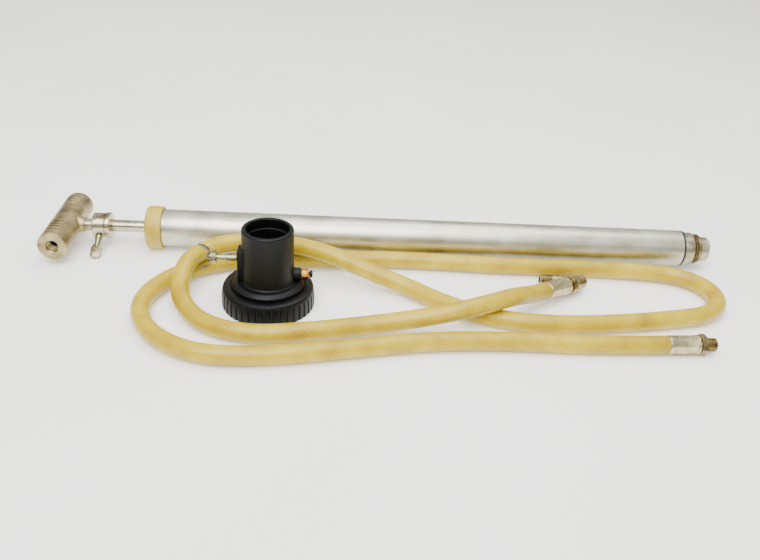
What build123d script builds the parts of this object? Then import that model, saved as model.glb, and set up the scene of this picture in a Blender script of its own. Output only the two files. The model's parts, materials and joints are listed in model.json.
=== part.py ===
"""Hand transfer pump: piston pump, drum adapter, two-ended hose and a loose nipple.

Millimetres, +Z up, origin on the table under the middle of the pump and the adapter.
Pump pieces are drawn in the pump's own frame, where X runs along the barrel from the outer
face of the top cap towards the foot valve, and then moved to their place on the table.
"""

from build123d import *
from math import cos, pi, radians, sin, sqrt, tan
import os

# ---- pump: where it lies -------------------------------------------------------------
CAP_FACE_X = -258.0
PUMP_Y = 50.0
CAP_R = 23.0
PUMP_Z = CAP_R

# ---- barrel and its two ends ---------------------------------------------------------
TUBE_R = 20.0
TUBE_BORE_R = 17.5
TUBE_START = 7.0
TUBE_END = 584.5
CAP_LEN = 17.0
CAP_WALL = 4.0
BUSH_END = 25.0
FIT = 0.05
GASKET_LEN = 2.0
FOOT_FLANGE_R = 19.0
FOOT_SHOULDER_R = 18.0
FOOT_THREAD_R = 16.62
FOOT_TIP_R = 13.5
FOOT_SPIGOT_START = 565.0
FOOT_SHOULDER_END = 597.0
FOOT_THREAD_END = 606.0
FOOT_TIP_END = 617.0
INLET_R = 6.0
FOOT_SEAT_X = 594.0
FOOT_BALL_R = 8.0
FOOT_CHAMBER_R = 9.5
FOOT_PIN_X = 575.0
FOOT_PIN_R = 1.25

# ---- rod, handle and piston ----------------------------------------------------------
ROD_R = 6.5
ROD_BORE_R = 4.0
HANDLE_X = -86.0
HANDLE_R = 15.0
HANDLE_LEN = 106.0
BOSS_R = 9.5
BOSS_TIP_R = 7.4
BOSS_END = -66.0
ROD_START = -78.0
PORT_R = 5.9
PORT_DEPTH = 14.0
PISTON_START = 498.0
ROD_END = 511.0
PISTON_R = 16.8
HUB_R = 12.9
SEAL_R = TUBE_BORE_R - FIT
SEAL_START = 521.0
SEAL_LEN = 8.0
HUB_END = 535.0
PISTON_FACE = 542.0
PISTON_SEAT_X = 531.0
PISTON_SEAT_R = 4.5
PISTON_BALL_R = 6.5
PISTON_CHAMBER_R = 7.5
PISTON_PIN_X = 514.0
PISTON_PIN_R = 1.0

# ---- stop collar and thumb screw on the rod ------------------------------------------
COLLAR_START = -57.0
COLLAR_STEP = -43.5
COLLAR_END = -38.5
COLLAR_R = 13.2
COLLAR_FLANGE_R = 14.6
THUMB_X = -50.0
THUMB_DROP = 30.0
THUMB_SHANK_R = 3.0
THUMB_PAD_LEN = 3.0

# ---- drum adapter --------------------------------------------------------------------
ADAPTER_X = -119.5
ADAPTER_Y = -57.7
ADAPTER_TOP = 82.0
ADAPTER_BOTTOM = 10.5
ADAPTER_R = 24.9
ADAPTER_BORE_R = 20.4
SHOULDER_R = 35.0
SHOULDER_Z = 21.8
SHOULDER_TOP = 27.0
NUT_R = 45.3
NUT_TOP_R = 40.0
NUT_TOP = 21.5
NUT_WALL_Z = 17.0
NUT_THREAD_R = 30.5
NUT_THREAD_TOP = 10.2
NUT_RELIEF_R = 31.0
NUT_RIBS = 40
CLAMP_Z = 49.0
CLAMP_PAD_R = 2.95
STUD_R = 3.0
BOSS_FACE = 29.0
VENT_Z = 32.6
VENT_TURN = 4.0

# ---- hose ----------------------------------------------------------------------------
HOSE_R = 9.0
HOSE_TABLE_Z = 10.2
HOSE_OVER_Z = 29.2
HOSE_END_Z = 9.5
FERRULE_R = 9.4
FERRULE_LEN = 30.5
FITTING_BORE_R = 3.5
STUB_R = 6.58

# ---- loose nipple --------------------------------------------------------------------
NIPPLE_R = 6.0
NIPPLE_START = 162.0
NIPPLE_END = 194.0
NIPPLE_Y = -3.0

# Centre line of the hose, from the fitting that lies over the nipple to the far one. It
# passes over itself three times, each time with one raised run above the crossing.
LOW = HOSE_TABLE_Z
HIGH = HOSE_OVER_Z
ROUTE = [
    (159.33, -43.57, 16.46), (143, -55, 18.5), (120, -77, HIGH), (81, -99, HIGH),
    (33, -105, 19), (-15, -106, LOW), (-74, -121, LOW), (-130, -131, LOW),
    (-177, -115, LOW), (-205, -74, 12.5), (-204, -36, HIGH), (-188, -5, HIGH),
    (-156, 15, HIGH), (-108, 13, HIGH), (-65, -3, HIGH), (-25, -22, 21),
    (17, -35, 11.5), (55, -66, LOW), (106, -92, LOW), (172, -96, LOW),
    (235, -88, LOW), (284, -78, LOW), (319, -69, LOW), (341, -46, LOW),
    (340, -14, LOW), (316, 9, LOW), (276, 16, LOW), (208, 18, LOW),
    (122, 17, LOW), (32, 22, LOW), (-52, 19, LOW), (-117, 14, LOW),
    (-176, 2, LOW), (-221, -31, LOW), (-242, -81, LOW), (-224, -131, LOW),
    (-176, -164, LOW), (-112, -162, LOW), (-43, -148, LOW), (31, -131, LOW),
    (114, -126, LOW), (192, -128, HOSE_END_Z), (259.51, -123.31, HOSE_END_Z),
]
ARC_SHARE = 0.45


# ---- helpers -------------------------------------------------------------------------
def turned(points):
    """Solid of revolution about X; points are (x, radius)."""
    return revolve(make_face(Polyline(*points, close=True)), Axis.X, 360)


def ring(start, end, outer, inner=0.0):
    """Ring or disc about X between two stations."""
    return turned([(start, inner), (end, inner), (end, outer), (start, outer)])


def upright_ring(bottom, top, outer, inner=0.0):
    """Ring or disc about Z between two heights."""
    return Rot(0, -90, 0) * ring(bottom, top, outer, inner)


def hexagon(start, end, flats, bore):
    """Hexagonal prism about X with a round bore, one flat facing down."""
    outline = Plane.YZ * RegularPolygon(flats / 2, 6, major_radius=False)
    prism = Pos(start, 0, 0) * extrude(outline, end - start, dir=(1, 0, 0))
    return prism - ring(start - 1, end + 1, bore)


def on_pump(shape):
    """Move a pump piece from the pump's frame to its place."""
    return Pos(CAP_FACE_X, PUMP_Y, PUMP_Z) * shape


def on_adapter(shape):
    """Move an adapter piece, drawn about Z, to its place."""
    return Pos(ADAPTER_X, ADAPTER_Y, 0) * shape


# ---- barrel ends ---------------------------------------------------------------------
def barrel_tube():
    return ring(TUBE_START, TUBE_END, TUBE_R, TUBE_BORE_R)


def top_cap():
    """Moulded cap screwed over the tube, with a rounded rim and a recess for the wiper."""
    rim = 3.0
    wiper_recess = 2.5
    cap = turned([
        (0, ROD_R + 0.4), (0, CAP_R - rim), (rim, CAP_R), (CAP_LEN, CAP_R),
        (CAP_LEN, TUBE_R + FIT), (CAP_WALL, TUBE_R + FIT), (CAP_WALL, 9.5),
        (CAP_WALL - wiper_recess, 9.5), (CAP_WALL - wiper_recess, ROD_R + 0.4),
    ])
    return cap


def guide_bush():
    """Flanged bush held between the cap and the tube, grooved for the rod's O-ring."""
    bore = ROD_R + FIT
    groove = ROD_R + 2.6
    spigot = TUBE_BORE_R - FIT
    return turned([
        (CAP_WALL, bore), (CAP_WALL, TUBE_R - 0.1), (TUBE_START, TUBE_R - 0.1),
        (TUBE_START, spigot), (BUSH_END, spigot), (BUSH_END, bore),
        (17.0, bore), (17.0, groove), (14.0, groove), (14.0, bore),
    ])


def rod_oring():
    return Pos(15.5, 0, 0) * (Rot(0, 90, 0) * Torus(ROD_R + 1.3, 1.2))


def rod_wiper():
    return ring(1.5, CAP_WALL, 9.5, ROD_R + FIT)


def foot_valve_body():
    """Foot valve: spigot in the tube, flange, male thread and a bored, chamfered nose."""
    spigot = TUBE_BORE_R - FIT
    flange_start = TUBE_END + GASKET_LEN
    nose_chamfer = 2.5
    body = turned([
        (FOOT_SPIGOT_START, FOOT_CHAMBER_R), (FOOT_SPIGOT_START, spigot), (568.5, spigot),
        (568.5, 15.6), (571.5, 15.6), (571.5, spigot), (flange_start, spigot),
        (flange_start, FOOT_FLANGE_R), (589, FOOT_FLANGE_R), (589, FOOT_SHOULDER_R),
        (FOOT_SHOULDER_END, FOOT_SHOULDER_R), (FOOT_SHOULDER_END, FOOT_THREAD_R),
        (FOOT_THREAD_END, FOOT_THREAD_R), (FOOT_THREAD_END, FOOT_TIP_R),
        (FOOT_TIP_END - nose_chamfer, FOOT_TIP_R), (FOOT_TIP_END, FOOT_TIP_R - nose_chamfer),
        (FOOT_TIP_END, INLET_R), (FOOT_SEAT_X, INLET_R), (FOOT_SEAT_X, FOOT_CHAMBER_R),
    ])
    return body - Pos(FOOT_PIN_X, 0, 0) * Cylinder(FOOT_PIN_R, 2 * TUBE_R)


def foot_gasket():
    return ring(TUBE_END, TUBE_END + GASKET_LEN, 19.6, TUBE_BORE_R)


def foot_oring():
    return Pos(570, 0, 0) * (Rot(0, 90, 0) * Torus(16.4, 0.8))


def foot_ball_pin():
    return Pos(FOOT_PIN_X, 0, 0) * Cylinder(FOOT_PIN_R, 34)


def foot_ball():
    centre = FOOT_SEAT_X - sqrt(FOOT_BALL_R ** 2 - INLET_R ** 2) - FIT
    return Pos(centre, 0, 0) * Sphere(FOOT_BALL_R)


def foot_strainer():
    """Perforated disc in the inlet."""
    thickness = 1.2
    disc = ring(FOOT_TIP_END - 4, FOOT_TIP_END - 4 + thickness, INLET_R)
    for radius, count in ((0.0, 1), (2.1, 6), (4.2, 12)):
        for step in range(count):
            turn = 2 * pi * step / count
            place = Pos(FOOT_TIP_END - 4, radius * cos(turn), radius * sin(turn))
            disc -= place * (Rot(0, 90, 0) * Cylinder(0.7, 4 * thickness))
    return disc


# ---- rod, handle and piston ----------------------------------------------------------
def rod_tube():
    return ring(ROD_START, ROD_END, ROD_R, ROD_BORE_R)


def t_handle():
    """Cast cross handle: outlet port in the near end, domed far end, finger grooves."""
    half = HANDLE_LEN / 2
    dome = 7.0
    bar = Rot(90, 0, 0) * Cylinder(HANDLE_R, HANDLE_LEN)
    bar = fillet(bar.edges().filter_by(GeomType.CIRCLE).sort_by(Axis.Y)[-1], dome)
    bar = chamfer(bar.edges().filter_by(GeomType.CIRCLE).sort_by(Axis.Y)[0], 1.2)
    groove_depth = 1.6
    for place in (-45, -39, -33, -27, -21, 21, 27, 33, 39):
        bar -= Pos(-groove_depth, place, 0) * (Rot(90, 0, 0) * Torus(HANDLE_R + 0.6, 1.6))
    boss = turned([
        (HANDLE_X, 0), (HANDLE_X, BOSS_R), (BOSS_END - 6, BOSS_R - 0.3),
        (BOSS_END, BOSS_TIP_R), (BOSS_END, 0),
    ])
    handle = Pos(HANDLE_X, 0, 0) * bar + boss
    handle -= ring(ROD_START, BOSS_END + 1, ROD_R + FIT)
    handle -= ring(HANDLE_X, ROD_START, ROD_BORE_R)
    port = Rot(90, 0, 0) * Cylinder(PORT_R, PORT_DEPTH)
    mouth = Rot(90, 0, 0) * Cone(PORT_R, PORT_R + 1.3, 1.3)
    passage = Rot(90, 0, 0) * Cylinder(ROD_BORE_R, half)
    handle -= Pos(HANDLE_X, -half + PORT_DEPTH / 2, 0) * port
    handle -= Pos(HANDLE_X, -half + 0.65, 0) * mouth
    handle -= Pos(HANDLE_X, -half / 2, 0) * passage
    return handle


def rod_bumper():
    return ring(PISTON_START - 4, PISTON_START, 13, ROD_R + FIT)


def piston_body():
    """Piston: rod socket, ball chamber, wear-ring groove and a hub for the seal."""
    bore = ROD_R + FIT
    counterbore = 9.5
    body = turned([
        (PISTON_START, bore), (PISTON_START, PISTON_R), (504, PISTON_R), (504, 15),
        (510, 15), (510, PISTON_R), (SEAL_START, PISTON_R), (SEAL_START, HUB_R),
        (HUB_END, HUB_R), (HUB_END, counterbore), (PISTON_SEAT_X, counterbore),
        (PISTON_SEAT_X, PISTON_CHAMBER_R), (ROD_END, PISTON_CHAMBER_R), (ROD_END, bore),
    ])
    return body - Pos(PISTON_PIN_X, 0, 0) * Cylinder(PISTON_PIN_R, 2 * PISTON_R)


def wear_ring():
    """Split guide ring in the piston's groove."""
    split = 1.5
    band = ring(504.1, 509.9, SEAL_R, 15.0)
    return band - Pos(507, 0, SEAL_R) * Box(8, split, 6)


def piston_seal():
    """Cup seal with a flared lip facing the foot valve."""
    start = SEAL_START + FIT
    end = SEAL_START + SEAL_LEN - FIT
    inner = HUB_R + FIT
    return turned([
        (start, inner), (start, SEAL_R - 0.6), (start + 3, SEAL_R - 0.6), (end, SEAL_R),
        (end, SEAL_R - 1.4), (start + 3.4, inner + 1.6), (start + 3.4, inner),
    ])


def seal_retainer():
    return ring(SEAL_START + SEAL_LEN, HUB_END, PISTON_R, HUB_R + FIT)


def piston_seat():
    """Valve seat screwed into the piston, with a hexagonal flange that clamps the seal."""
    spigot = ring(PISTON_SEAT_X, HUB_END, 9.5 - FIT, PISTON_SEAT_R)
    return spigot + hexagon(HUB_END, PISTON_FACE, 28, PISTON_SEAT_R)


def ball_stop_pin():
    return Pos(PISTON_PIN_X, 0, 0) * Cylinder(PISTON_PIN_R, 2 * PISTON_R - 1)


def piston_ball():
    centre = PISTON_SEAT_X - sqrt(PISTON_BALL_R ** 2 - PISTON_SEAT_R ** 2) - FIT
    return Pos(centre, 0, 0) * Sphere(PISTON_BALL_R)


# ---- stop collar ---------------------------------------------------------------------
def at_thumb(shape):
    """Place a shape drawn outwards along Z on the thumb screw's axis."""
    return Pos(THUMB_X, 0, 0) * (Rot(90 + THUMB_DROP, 0, 0) * shape)


def stop_collar():
    collar = ring(COLLAR_START, COLLAR_STEP, COLLAR_R, ROD_R + FIT)
    collar += ring(COLLAR_STEP, COLLAR_END, COLLAR_FLANGE_R, ROD_R + FIT)
    edges = collar.edges().filter_by(GeomType.CIRCLE).group_by(SortBy.RADIUS)[-1]
    collar = chamfer(edges, 0.8)
    return collar - at_thumb(Pos(0, 0, COLLAR_R) * Cylinder(THUMB_SHANK_R + FIT, 2 * COLLAR_R))


def thumb_pad():
    return at_thumb(upright_ring(ROD_R + 0.2, ROD_R + 0.2 + THUMB_PAD_LEN, 2.9))


def thumb_screw():
    """Screw with a shouldered, tapering shank and a flat, rounded paddle."""
    shank_start = ROD_R + 0.2 + THUMB_PAD_LEN
    shoulder = COLLAR_R + 1.3
    paddle_start = 26.0
    paddle_end = 41.0
    paddle_thickness = 2.6
    shank = Rot(0, -90, 0) * turned([
        (shank_start, 0), (shank_start, THUMB_SHANK_R), (shoulder, THUMB_SHANK_R),
        (shoulder, THUMB_SHANK_R + 1), (paddle_start, THUMB_SHANK_R - 0.2), (paddle_start, 0),
    ])
    outline = Plane.XZ * make_face(
        Polyline((-2.6, 22), (2.6, 22), (6, paddle_start + 3), (5.2, paddle_end),
                 (-5.2, paddle_end), (-6, paddle_start + 3), close=True)
    )
    paddle = Pos(0, paddle_thickness / 2, 0) * extrude(outline, paddle_thickness)
    corners = paddle.edges().filter_by(Axis.Y).sort_by(Axis.Z)[-4:]
    return at_thumb(shank + fillet(corners, 2.0))


# ---- drum adapter --------------------------------------------------------------------
def adapter_body():
    """Moulded tube with a shoulder ring, a clamp boss and a vent boss."""
    rim = 1.2
    step = 24.0
    tube = Rot(0, -90, 0) * turned([
        (ADAPTER_BOTTOM, ADAPTER_BORE_R), (ADAPTER_BOTTOM, step), (16.6, step),
        (16.6, ADAPTER_R), (SHOULDER_Z, ADAPTER_R), (SHOULDER_Z, SHOULDER_R),
        (SHOULDER_TOP - 3, SHOULDER_R), (SHOULDER_TOP, SHOULDER_R - 4.5),
        (SHOULDER_TOP, ADAPTER_R), (ADAPTER_TOP - rim, ADAPTER_R),
        (ADAPTER_TOP, ADAPTER_R - rim), (ADAPTER_TOP, ADAPTER_BORE_R + 0.8),
        (ADAPTER_TOP - 0.8, ADAPTER_BORE_R), (72.4, ADAPTER_BORE_R), (72.4, 23.4),
        (69.4, 23.4), (69.4, ADAPTER_BORE_R),
    ])
    boss_bottom = SHOULDER_TOP - 1
    boss_top = 60.0
    boss_inner = 22.5
    boss = Pos(-(BOSS_FACE + boss_inner) / 2, 0, (boss_bottom + boss_top) / 2) * Box(
        BOSS_FACE - boss_inner, 16, boss_top - boss_bottom
    )
    boss = fillet(boss.edges().filter_by(Axis.Z).sort_by(Axis.X)[:2], 2.0)
    vent = vent_way() * ring(22.5, 32.0, 6.4)
    body = tube + boss + vent
    body -= Pos(0, 0, CLAMP_Z) * ring(-BOSS_FACE - 1, -18, STUD_R + FIT)
    body -= Pos(0, 0, CLAMP_Z) * ring(-BOSS_FACE - 1, -24, 5.0)
    return body - vent_way() * ring(18, 33, 2.5)


def vent_way():
    """Turns a shape along X to the vent's direction and height."""
    return Pos(0, 0, VENT_Z) * Rot(0, 0, VENT_TURN)


def barrel_oring():
    return Pos(0, 0, 70.9) * Torus(21.95, 1.4)


def retaining_flange():
    return upright_ring(13.2, 16.6, 30.0, 24.05)


def neck_gasket():
    return upright_ring(ADAPTER_BOTTOM, 13.2, 29.8, 24.05)


def clamp_insert():
    return Pos(0, 0, CLAMP_Z) * ring(-BOSS_FACE, -24, 5.0, STUD_R + FIT)


def clamp_pad():
    return Pos(0, 0, CLAMP_Z) * ring(-24.0, -21.0, CLAMP_PAD_R)


def clamp_stud():
    return Pos(0, 0, CLAMP_Z) * ring(-56.0, -24.0, STUD_R)


def clamp_lock_nut():
    return Pos(0, 0, CLAMP_Z) * hexagon(-53.0, -49.0, 11.0, STUD_R)


def wing_nut():
    """Hub with two pressed wings that curl outwards and away from the adapter."""
    wing_width = 9.0
    hub = ring(-58.0, -53.0, 5.6, STUD_R)
    wing = Plane.XZ * make_face(
        Polyline((-54.2, 4.2), (-56.2, 7.6), (-60.0, 10.6), (-66.0, 12.1), (-66.0, 13.4),
                 (-59.4, 12.0), (-54.9, 8.4), (-53.4, 4.9), close=True)
    )
    blade = Pos(0, wing_width / 2, 0) * extrude(wing, wing_width)
    corners = blade.edges().filter_by(GeomType.LINE).sort_by(Axis.X)
    tips = [edge for edge in corners[:6] if abs(edge.length - (13.4 - 12.1)) < 0.01]
    blade = fillet(tips, 3.0)
    return Pos(0, 0, CLAMP_Z) * (hub + blade + mirror(blade, Plane.XY))


def vent_fitting():
    """Brass body of the vent, with a hexagon and a stub in the boss."""
    stub = ring(24.6, 32.0, 2.5, 1.5)
    return vent_way() * (stub + hexagon(32.0, 39.0, 10.0, 2.2))


def vent_sleeve():
    """Release sleeve that slides in the vent's mouth."""
    return vent_way() * (ring(35.0, 40.3, 2.15, 1.2) + ring(40.3, 43.0, 3.6, 1.2))


def ring_nut():
    """Grip ring with a rounded shoulder, an inner thread and grip grooves."""
    outline = [
        (0, NUT_THREAD_R), (0, NUT_R - 1.0), (1.0, NUT_R), (12, NUT_R), (18, NUT_R - 1.0),
        (20.6, NUT_R - 2.4), (NUT_TOP, NUT_TOP_R), (NUT_TOP, ADAPTER_R + 0.4),
        (NUT_WALL_Z, ADAPTER_R + 0.4), (NUT_WALL_Z, NUT_RELIEF_R),
        (NUT_THREAD_TOP, NUT_RELIEF_R), (NUT_THREAD_TOP, NUT_THREAD_R),
    ]
    nut = Rot(0, -90, 0) * turned(outline)
    groove = Pos(NUT_R - 0.2, 0, 8.8) * Box(3.2, 2.6, 19.6)
    for step in range(NUT_RIBS):
        nut -= Rot(0, 0, 360 * step / NUT_RIBS) * groove
    return nut


# ---- hose and its fittings -----------------------------------------------------------
def corner_radii(route):
    """Largest tangent arc that each corner's two runs allow."""
    points = [Vector(*place) for place in route]
    radii = []
    for before, here, after in zip(points, points[1:], points[2:]):
        turn = radians((here - before).get_angle(after - here))
        shorter = min((here - before).length, (after - here).length)
        radii.append(ARC_SHARE * shorter / tan(turn / 2))
    return radii


def hose():
    radii = corner_radii(ROUTE)
    line = FilletPolyline(*ROUTE, radius=radii)
    start = Plane(origin=line @ 0, z_dir=line % 0)
    tube = sweep(start * Circle(HOSE_R), path=line)
    print("corner radii", [round(radius) for radius in radii])
    print("hose length", round(line.length), "volume", round(tube.volume),
          "section x length", round(pi * HOSE_R ** 2 * line.length))
    return tube


def hose_end(index, inner):
    """Plane-like location whose X points out of the hose at one of its ends."""
    end = Vector(*ROUTE[index])
    outwards = (end - Vector(*ROUTE[inner])).normalized()
    side = Vector(0, 0, 1).cross(outwards)
    return Plane(origin=end, x_dir=outwards, z_dir=outwards.cross(side)).location


def ferrule():
    """Crimped ferrule with eight flats and a plain collar at each end."""
    sleeve = ring(0, FERRULE_LEN, FERRULE_R, 6.0)
    flats = Plane.YZ * RegularPolygon(FERRULE_R - 0.5, 8, major_radius=False, rotation=22.5)
    crimp = Pos(3, 0, 0) * extrude(flats, FERRULE_LEN - 6, dir=(1, 0, 0))
    trimmed = sleeve & (crimp + ring(0, 3, FERRULE_R) + ring(FERRULE_LEN - 3, FERRULE_LEN, FERRULE_R))
    return trimmed - ring(-1, FERRULE_LEN + 1, 6.0)


def fitting_tail(neck, stub):
    """Hose tail: barb inside the ferrule, neck, hexagon and male threaded stub."""
    hex_start = FERRULE_LEN + neck
    hex_end = hex_start + 6
    tail = ring(4, hex_start, 5.95, FITTING_BORE_R)
    tail += ring(FERRULE_LEN, hex_start, 7.6, FITTING_BORE_R)
    tail += hexagon(hex_start, hex_end, 18.4, FITTING_BORE_R)
    tail += ring(hex_end, hex_end + stub, STUB_R, FITTING_BORE_R)
    return tail


def sleeve_a():
    """Threaded socket on the near fitting's stub, slightly tapered at its mouth."""
    start = FERRULE_LEN + 3 + 6
    return turned([
        (start, STUB_R + FIT), (start, 8.0), (start + 12, 7.8), (start + 16.5, 7.2),
        (start + 16.5, 5.9), (start + 10, 5.9), (start + 10, STUB_R + FIT),
    ])


def adapter_nipple():
    """Loose brass nipple: plain tube with a raised ring and a threaded end."""
    middle = (NIPPLE_START + NIPPLE_END) / 2
    tube = ring(NIPPLE_START, NIPPLE_END, NIPPLE_R - 0.4, FITTING_BORE_R)
    tube += ring(NIPPLE_START, middle - 2, NIPPLE_R, FITTING_BORE_R)
    tube += ring(middle + 2, middle + 5, NIPPLE_R, FITTING_BORE_R)
    return Pos(0, NIPPLE_Y, NIPPLE_R) * tube


# ---- write every node ----------------------------------------------------------------
PUMP_NODES = [
    barrel_tube, top_cap, guide_bush, rod_oring, rod_wiper, foot_valve_body, foot_gasket,
    foot_oring, foot_ball_pin, foot_ball, foot_strainer, rod_tube, t_handle, rod_bumper,
    piston_body, wear_ring, piston_seal, seal_retainer, piston_seat, ball_stop_pin,
    piston_ball, stop_collar, thumb_pad, thumb_screw,
]
ADAPTER_NODES = [
    adapter_body, barrel_oring, retaining_flange, neck_gasket, clamp_insert, clamp_pad,
    clamp_stud, clamp_lock_nut, wing_nut, vent_fitting, vent_sleeve, ring_nut,
]


def main():
    os.makedirs("parts", exist_ok=True)
    solids = {make.__name__: on_pump(make()) for make in PUMP_NODES}
    solids.update({make.__name__: on_adapter(make()) for make in ADAPTER_NODES})
    end_a = hose_end(0, 1)
    end_b = hose_end(-1, -2)
    solids["hose"] = hose()
    solids["ferrule_a"] = end_a * ferrule()
    solids["tail_a"] = end_a * fitting_tail(3, 10)
    solids["sleeve_a"] = end_a * sleeve_a()
    solids["ferrule_b"] = end_b * ferrule()
    solids["tail_b"] = end_b * fitting_tail(0.5, 11)
    solids["adapter_nipple"] = adapter_nipple()
    for name, solid in solids.items():
        export_step(solid, f"parts/{name}.step")
    print(len(solids), "nodes")


main()
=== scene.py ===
"""Hand transfer pump: the looks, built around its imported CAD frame.

Every piece is made in metres, in the frame's own axes, and rides on a CAD body. Outlines are
given in millimetres as (station, radius) along the axis that a piece is turned about.
"""

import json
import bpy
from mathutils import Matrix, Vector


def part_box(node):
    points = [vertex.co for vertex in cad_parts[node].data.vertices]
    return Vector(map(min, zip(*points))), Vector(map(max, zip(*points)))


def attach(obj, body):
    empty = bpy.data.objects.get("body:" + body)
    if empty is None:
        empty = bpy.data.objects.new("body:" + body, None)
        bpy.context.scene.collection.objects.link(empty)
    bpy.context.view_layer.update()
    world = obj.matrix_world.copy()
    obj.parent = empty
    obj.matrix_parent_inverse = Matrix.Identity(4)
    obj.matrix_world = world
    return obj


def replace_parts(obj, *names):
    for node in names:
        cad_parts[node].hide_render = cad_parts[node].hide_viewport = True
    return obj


bl_info = {
    "name": "Hand transfer pump",
    "version": (1, 0, 0),
    "blender": (4, 5, 0),
    "location": "3D View > Sidebar > Pump",
    "description": "Builds a hand transfer pump, its drum adapter, hose and nipple",
    "category": "Add Mesh",
}

from math import cos, pi, radians, sin, tan

import bpy
from bpy.props import FloatProperty, FloatVectorProperty, IntProperty, PointerProperty
from mathutils import Matrix, Vector

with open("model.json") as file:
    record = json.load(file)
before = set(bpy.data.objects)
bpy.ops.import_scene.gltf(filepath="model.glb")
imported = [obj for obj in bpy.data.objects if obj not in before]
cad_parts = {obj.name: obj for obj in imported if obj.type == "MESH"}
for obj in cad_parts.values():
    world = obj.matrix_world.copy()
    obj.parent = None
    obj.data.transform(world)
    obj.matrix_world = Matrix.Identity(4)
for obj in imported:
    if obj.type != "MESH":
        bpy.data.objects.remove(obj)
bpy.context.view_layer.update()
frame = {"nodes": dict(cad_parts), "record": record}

MM = 0.001
SLOT_OF = {part["node"]: part["material_slot"] for part in frame["record"]["subparts"]}
BODIES = frame["record"]["behaviour"]["bodies"]
BODY_OF = {node: body for body, nodes in BODIES.items() for node in nodes}


# ---- places read from the frame ------------------------------------------------------
def middle(node):
    low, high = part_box(node)
    return (low + high) / 2


def half_height(node):
    """Radius, in millimetres, of a node that lies on its side."""
    low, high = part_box(node)
    return (high.z - low.z) / 2 / MM


PUMP_AXIS = middle("barrel_tube")
CAP_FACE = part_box("top_cap")[0].x
ON_PUMP = Matrix.Translation((CAP_FACE, PUMP_AXIS.y, PUMP_AXIS.z))
ADAPTER_AXIS = middle("ring_nut")
ON_ADAPTER = Matrix.Translation((ADAPTER_AXIS.x, ADAPTER_AXIS.y, 0))
UPRIGHT = Matrix.Rotation(-pi / 2, 4, "Y")
CLAMP_AXIS = Matrix.Translation((0, 0, middle("clamp_stud").z))
VENT_TURN = 4.0
VENT_HEIGHT = middle("vent_fitting").z
VENT_AXIS = Matrix.Translation((0, 0, VENT_HEIGHT)) @ Matrix.Rotation(radians(VENT_TURN), 4, "Z")
THUMB_STATION = -50.0
THUMB_DROP = 30.0
THUMB_AXIS = (
    ON_PUMP
    @ Matrix.Translation((THUMB_STATION * MM, 0, 0))
    @ Matrix.Rotation(radians(90 + THUMB_DROP), 4, "X")
    @ UPRIGHT
)


def along_pump(node):
    """First and last station of a node, in millimetres from the cap's outer face."""
    low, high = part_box(node)
    return (low.x - CAP_FACE) / MM, (high.x - CAP_FACE) / MM


# ---- settings that a user would change -----------------------------------------------
def linear(text):
    """Linear colour of an sRGB hex value."""
    levels = [int(text[place:place + 2], 16) / 255 for place in (1, 3, 5)]
    return [v / 12.92 if v <= 0.04045 else ((v + 0.055) / 1.055) ** 2.4 for v in levels] + [1.0]


def colour(title, about, value):
    return FloatVectorProperty(
        name=title, description=about, default=linear(value), subtype="COLOR", size=4, min=0, max=1
    )


def length(title, about, millimetres):
    return FloatProperty(name=title, description=about, default=millimetres * MM, unit="LENGTH", min=0)


class TransferPumpSizes(bpy.types.PropertyGroup):
    cap_radius: length("Cap radius", "Outer radius of the top cap", half_height("top_cap"))
    barrel_radius: length("Barrel radius", "Outer radius of the barrel", half_height("barrel_tube"))
    barrel_wall: length("Barrel wall", "Wall thickness of the barrel", 2.5)
    rod_radius: length("Rod radius", "Outer radius of the piston rod", half_height("rod_tube"))
    handle_radius: length("Handle radius", "Radius of the cross handle", half_height("t_handle"))
    finger_groove: length("Finger groove", "Section radius of one finger groove", 1.7)
    foot_pitch: length("Foot thread pitch", "Pitch of the foot's pipe thread", 2.309)
    hose_pitch: length("Hose thread pitch", "Pitch of the hose's pipe threads", 1.337)
    screw_pitch: length("Screw pitch", "Pitch of the clamp and thumb screws", 1.0)


class TransferPumpHose(bpy.types.PropertyGroup):
    diameter: length("Diameter", "Outer diameter of the hose", 18.0)
    yarns: IntProperty(name="Yarns", description="Yarns laid each way round the hose", default=12, min=4)
    lay: length("Lay", "Length in which one yarn goes once round the hose", 58.0)
    body_colour: colour("Hose colour", "Clear compound of the hose", "#B99F02")
    yarn_colour: colour("Yarn colour", "Braid seen through the cover", "#CFB52A")


class TransferPumpFinish(bpy.types.PropertyGroup):
    nylon: colour("Nylon", "Moulded top cap", "#BBA42C")
    plastic: colour("Plastic", "Drum adapter and its grip ring", "#060708")
    floor: colour("Floor", "Surface that everything lies on", "#F6F5F1")


# ---- modelling tools -----------------------------------------------------------------
def only(piece):
    """Selects one piece and nothing else."""
    if bpy.context.object and bpy.context.object.mode != "OBJECT":
        bpy.ops.object.mode_set(mode="OBJECT")
    bpy.ops.object.select_all(action="DESELECT")
    if piece:
        bpy.context.view_layer.objects.active = piece
        piece.select_set(True)
    return piece


def outline(corners, per_arc=6):
    """Closed outline; a corner's third number is the radius that rounds it."""
    points = []
    for index, corner in enumerate(corners):
        here = Vector(corner[:2])
        radius = corner[2] if len(corner) > 2 else 0.0
        if not radius:
            points.append(here)
            continue
        back = (Vector(corners[index - 1][:2]) - here).normalized()
        onward = (Vector(corners[(index + 1) % len(corners)][:2]) - here).normalized()
        half = back.angle(onward) / 2
        centre = here + (back + onward).normalized() * (radius / sin(half))
        start = here + back * (radius / tan(half)) - centre
        end = here + onward * (radius / tan(half)) - centre
        sweep = start.angle(end)
        for step in range(per_arc + 1):
            share = step / per_arc
            spoke = (start * sin((1 - share) * sweep) + end * sin(share * sweep)) / sin(sweep)
            points.append(centre + spoke)
    return points


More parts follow.
